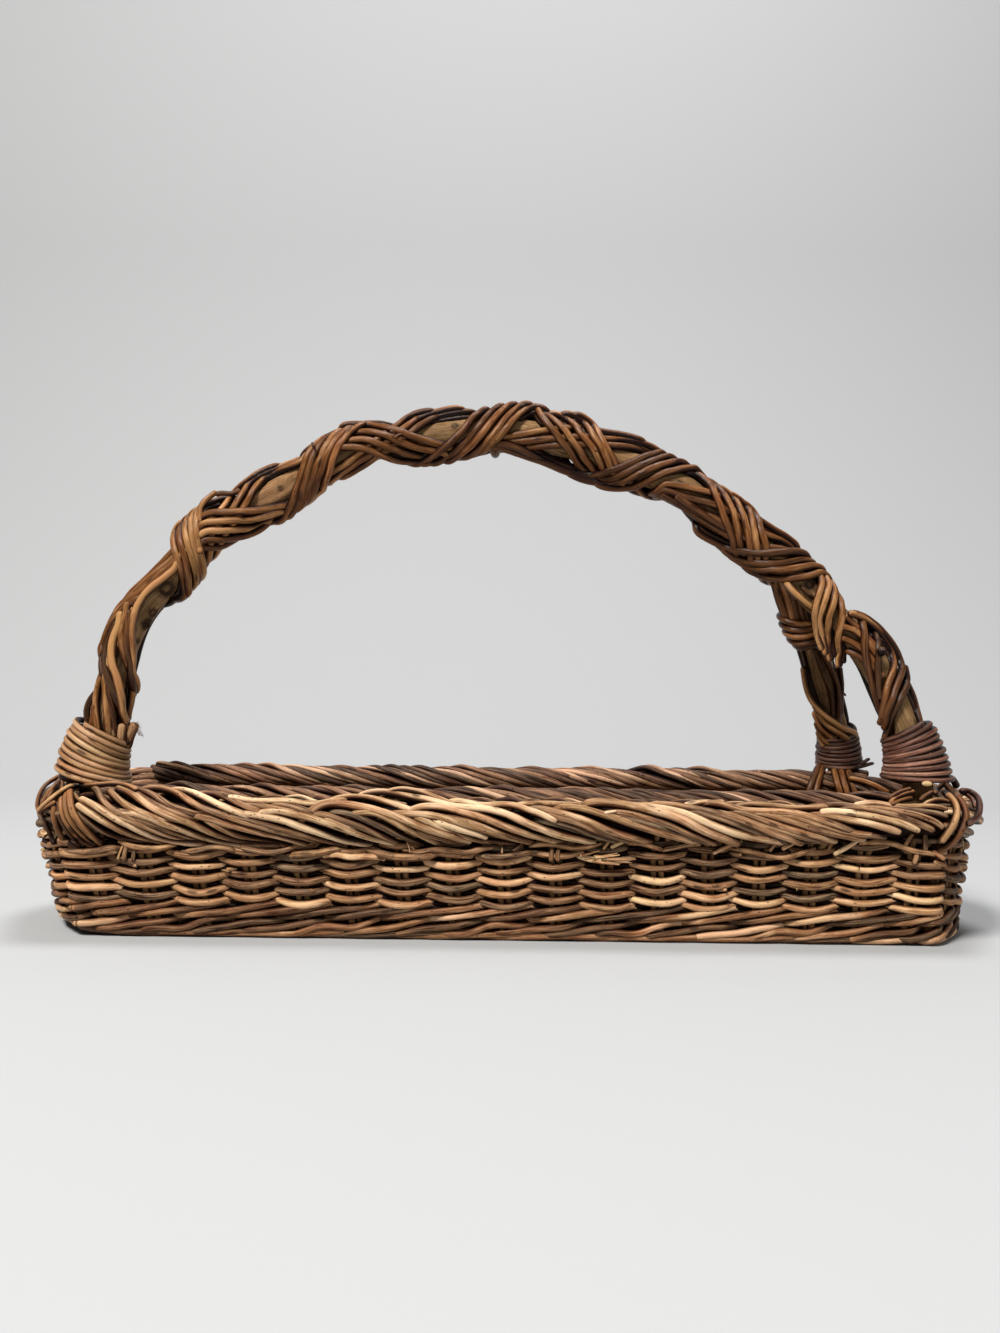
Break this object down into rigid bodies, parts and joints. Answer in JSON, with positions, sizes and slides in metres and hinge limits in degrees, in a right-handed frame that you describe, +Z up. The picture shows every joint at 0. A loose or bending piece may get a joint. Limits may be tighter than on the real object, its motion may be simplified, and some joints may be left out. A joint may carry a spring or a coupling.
{
  "type": "gathering basket",
  "caption": "Long shallow willow basket with bowed ends, a rope-like rolled border and one arched, wound handle that forks into two legs at one end.",
  "frame": {"origin": "middle of the outer box, on the ground under the base", "axes": "+X along the long side towards the forked end of the handle, +Y from the front wall to the back wall, +Z up"},
  "size_m": [0.5108, 0.1192, 0.2787],
  "materials": {
    "weave_rods": "weathered willow bark, tan to dark brown, low sheen",
    "wale_rods": "weathered willow bark, golden tan to brown, low sheen",
    "stake_rods": "dull willow bark with pale slanting cut ends",
    "border_rods": "thick willow rods, worn pale on top, low sheen",
    "base_rods": "dull willow bark",
    "handle_core": "smooth grey-brown bark with knots",
    "handle_rods": "amber-brown willow bark, satin from handling",
    "dark_binding_rods": "red-brown willow bark, satin",
    "pale_binding_rods": "pale tan willow bark, satin"
  },
  "bodies": {
    "root": {"front_stakes": "stake_rods", "front_bottom_wale": "wale_rods", "front_siding": "weave_rods", "front_border": "border_rods", "back_stakes": "stake_rods", "back_bottom_wale": "wale_rods", "back_siding": "weave_rods", "back_border": "border_rods", "left_end_stakes": "stake_rods", "left_end_bottom_wale": "wale_rods", "left_end_siding": "weave_rods", "left_end_border": "border_rods", "right_end_stakes": "stake_rods", "right_end_bottom_wale": "wale_rods", "right_end_siding": "weave_rods", "right_end_border": "border_rods", "corner_post_front_left": "stake_rods", "corner_post_front_right": "stake_rods", "corner_post_back_right": "stake_rods", "corner_post_back_left": "stake_rods", "base_stick_1": "base_rods", "base_stick_2": "base_rods", "base_stick_3": "base_rods", "base_stick_4": "base_rods", "base_stick_5": "base_rods", "base_weave": "base_rods", "front_inner_border": "border_rods", "back_inner_border": "border_rods", "handle_bow": "handle_core", "inner_leg": "handle_core", "handle_wrap_under": "handle_rods", "handle_wrap_over": "handle_rods", "inner_leg_collar": "handle_rods", "inner_leg_wrap": "handle_rods", "left_leg_ties": "handle_rods", "inner_leg_tie_2": "handle_rods", "left_corner_loop": "handle_rods", "right_binding": "dark_binding_rods", "inner_binding": "dark_binding_rods", "right_leg_ties": "dark_binding_rods", "inner_leg_tie_1": "dark_binding_rods", "right_corner_loop": "dark_binding_rods", "left_binding": "pale_binding_rods"}
  },
  "joints": []
}
